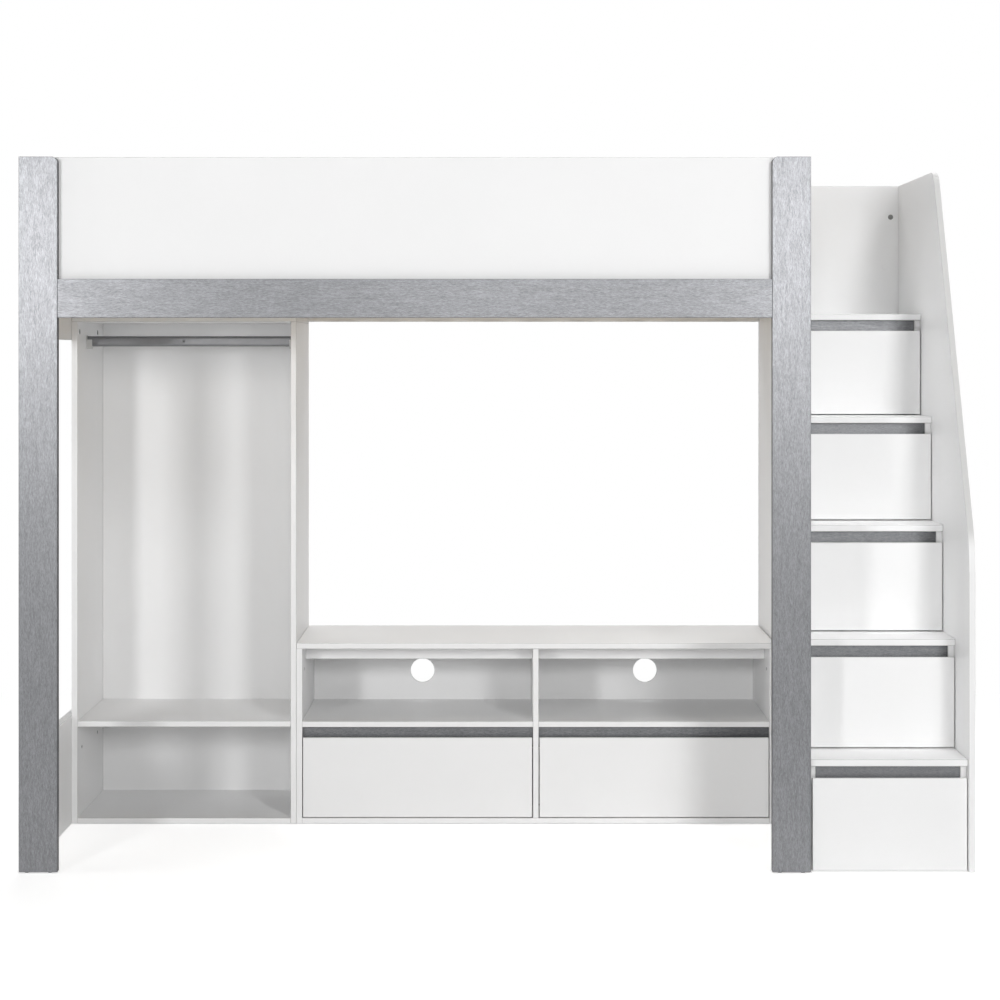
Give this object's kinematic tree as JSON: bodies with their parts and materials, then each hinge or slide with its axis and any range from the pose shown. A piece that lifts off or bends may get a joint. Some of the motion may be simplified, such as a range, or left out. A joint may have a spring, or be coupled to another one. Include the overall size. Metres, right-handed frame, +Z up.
{
  "type": "high sleeper bed",
  "caption": "High sleeper bed in white and brushed silver board, with an open wardrobe, a low media unit with drawers and storage stairs whose steps are drawers.",
  "frame": {"origin": "middle of the footprint on the floor", "axes": "+X along the bed towards the stairs, +Y from the front towards the wall, +Z up"},
  "size_m": [2.47, 0.992, 1.85],
  "materials": {
    "white_melamine": "white melamine-faced board with a fine satin texture",
    "silver_laminate": "board with a brushed silver laminate and darker edges",
    "pine": "planed softwood",
    "rail_metal": "silver grey oval tube",
    "socket_plastic": "light grey moulding",
    "runner_metal": "white powder coat",
    "fitting_metal": "zinc-plated",
    "glide_plastic": "dark grey"
  },
  "bodies": {
    "bedstead": {"front_left_post": "silver_laminate", "front_right_post": "silver_laminate", "front_side_rail": "silver_laminate", "front_guard_panel": "white_melamine", "rear_left_post": "white_melamine", "rear_guard_panel": "white_melamine", "left_upper_end_panel": "white_melamine", "left_lower_end_panel": "white_melamine", "right_end_panel": "white_melamine", "right_upper_end_guard": "white_melamine", "slat_ledgers": "pine", "bed_slats": "pine", "wardrobe_left_side": "white_melamine", "wardrobe_right_side": "white_melamine", "wardrobe_top": "white_melamine", "wardrobe_shelf": "white_melamine", "wardrobe_bottom": "white_melamine", "wardrobe_back": "white_melamine", "hanging_rail": "rail_metal", "hanging_rail_sockets": "socket_plastic", "media_top": "white_melamine", "media_left_side": "white_melamine", "media_right_side": "white_melamine", "media_divider": "white_melamine", "media_bottom": "white_melamine", "media_shelves": "white_melamine", "media_stretchers": "white_melamine", "media_left_back": "white_melamine", "media_right_back": "white_melamine", "media_grip_strips": "silver_laminate", "stairs_left_gable": "white_melamine", "stairs_right_gable": "white_melamine", "stairs_guard_panel": "white_melamine", "stairs_back_panel": "white_melamine", "step_1_tread": "white_melamine", "step_2_tread": "white_melamine", "step_3_tread": "white_melamine", "step_4_tread": "white_melamine", "step_5_tread": "white_melamine", "stairs_grip_strips": "silver_laminate", "drawer_runners": "runner_metal", "cam_locks": "fitting_metal", "cam_cap": "white_melamine", "connector_screws": "fitting_metal", "floor_glides": "glide_plastic"},
    "media_left_drawer": {"media_left_drawer_front": "white_melamine", "media_left_drawer_box": "white_melamine"},
    "media_right_drawer": {"media_right_drawer_front": "white_melamine", "media_right_drawer_box": "white_melamine"},
    "step_1_drawer": {"step_1_drawer_front": "white_melamine", "step_1_drawer_box": "white_melamine"},
    "step_2_drawer": {"step_2_drawer_front": "white_melamine", "step_2_drawer_box": "white_melamine"},
    "step_3_drawer": {"step_3_drawer_front": "white_melamine", "step_3_drawer_box": "white_melamine"},
    "step_4_drawer": {"step_4_drawer_front": "white_melamine", "step_4_drawer_box": "white_melamine"},
    "step_5_drawer": {"step_5_drawer_front": "white_melamine", "step_5_drawer_box": "white_melamine"}
  },
  "joints": [
    {"name": "media_left_drawer_slide", "type": "slide", "parent": "bedstead", "child": "media_left_drawer", "axis": [0, -1, 0], "range_m": [0, 0.26]},
    {"name": "media_right_drawer_slide", "type": "slide", "parent": "bedstead", "child": "media_right_drawer", "axis": [0, -1, 0], "range_m": [0, 0.26]},
    {"name": "step_1_drawer_slide", "type": "slide", "parent": "bedstead", "child": "step_1_drawer", "axis": [0, -1, 0], "range_m": [0, 0.3]},
    {"name": "step_2_drawer_slide", "type": "slide", "parent": "bedstead", "child": "step_2_drawer", "axis": [0, -1, 0], "range_m": [0, 0.3]},
    {"name": "step_3_drawer_slide", "type": "slide", "parent": "bedstead", "child": "step_3_drawer", "axis": [0, -1, 0], "range_m": [0, 0.3]},
    {"name": "step_4_drawer_slide", "type": "slide", "parent": "bedstead", "child": "step_4_drawer", "axis": [0, -1, 0], "range_m": [0, 0.3]},
    {"name": "step_5_drawer_slide", "type": "slide", "parent": "bedstead", "child": "step_5_drawer", "axis": [0, -1, 0], "range_m": [0, 0.22]}
  ]
}
